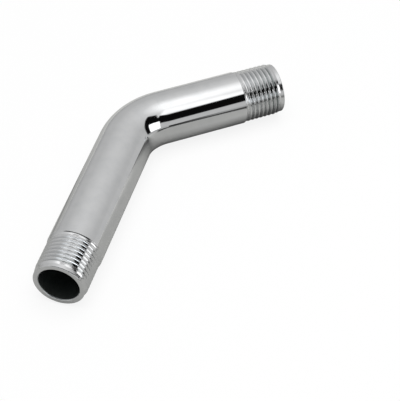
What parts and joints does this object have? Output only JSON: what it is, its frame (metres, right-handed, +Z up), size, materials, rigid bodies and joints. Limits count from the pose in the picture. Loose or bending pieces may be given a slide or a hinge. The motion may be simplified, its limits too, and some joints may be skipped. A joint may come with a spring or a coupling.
{
  "type": "shower arm",
  "caption": "Bent chromed pipe with a tapered pipe thread on each end, carrying a shower head out from the wall.",
  "frame": {"origin": "centre of the inlet end face, on the pipe's axis", "axes": "+X runs along the inlet leg into the arm, the outlet leg turns towards -Y, and +Z is up, square to the plane of the bend; the arm lies on its side"},
  "size_m": [0.1326, 0.0653, 0.0214],
  "materials": {
    "chrome_plate": "bright polished chrome plate"
  },
  "bodies": {
    "root": {"shower_arm": "chrome_plate"}
  },
  "joints": []
}
